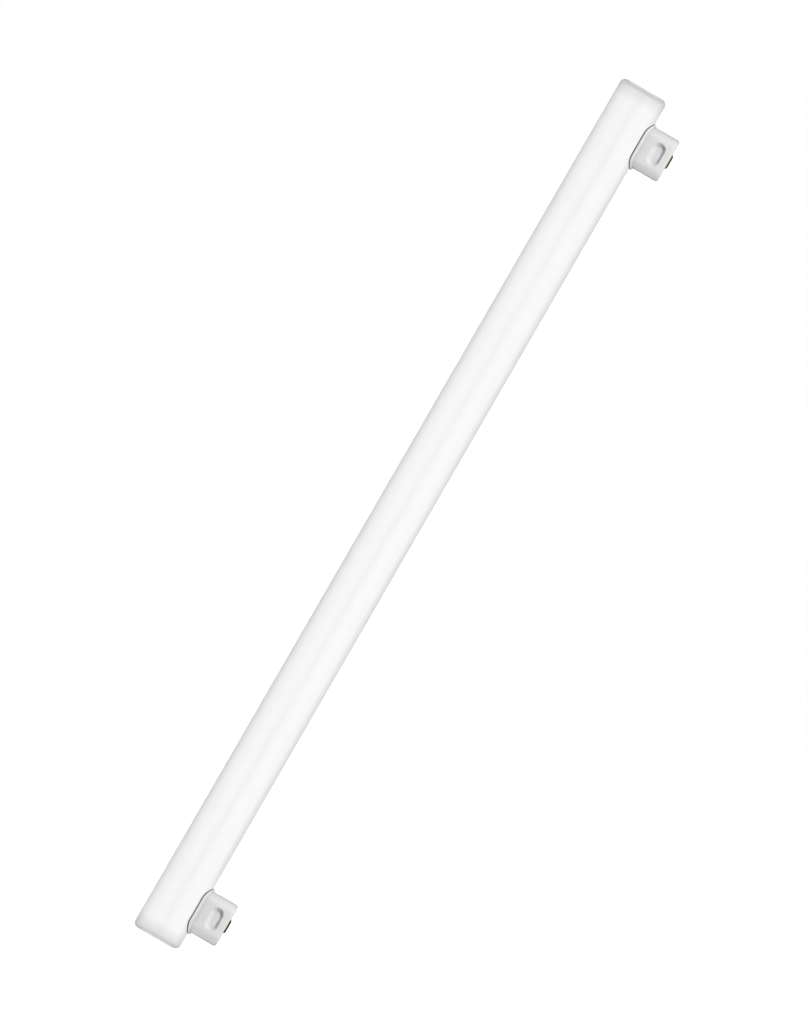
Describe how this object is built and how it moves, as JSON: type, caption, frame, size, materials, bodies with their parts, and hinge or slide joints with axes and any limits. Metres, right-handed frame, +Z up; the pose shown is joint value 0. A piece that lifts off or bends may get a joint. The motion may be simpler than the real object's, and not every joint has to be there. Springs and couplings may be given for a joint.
{
  "type": "linear led tube lamp",
  "caption": "Straight satin opal lamp tube with closed ends, a light grey plug-in cap near each end on one side, and a brass contact on each cap.",
  "frame": {"origin": "under the tube's axis, halfway along the tube, on the surface that the lamp lies on", "axes": "+X along the tube towards the end whose cap sits further in, -Y the way that the caps point, +Z up"},
  "size_m": [0.5, 0.0427, 0.0265],
  "materials": {
    "opal_glass": "satin white, diffusing, can't be seen into",
    "cap_plastic": "moulded, fine matte grain",
    "gasket_rubber": "dark grey, matte",
    "contact_brass": "pressed, satin, slightly tarnished at its edges"
  },
  "bodies": {
    "root": {"opal_tube": "opal_glass", "right_gasket": "gasket_rubber", "left_gasket": "gasket_rubber", "right_cap": "cap_plastic", "left_cap": "cap_plastic", "right_contact": "contact_brass", "left_contact": "contact_brass"}
  },
  "joints": []
}
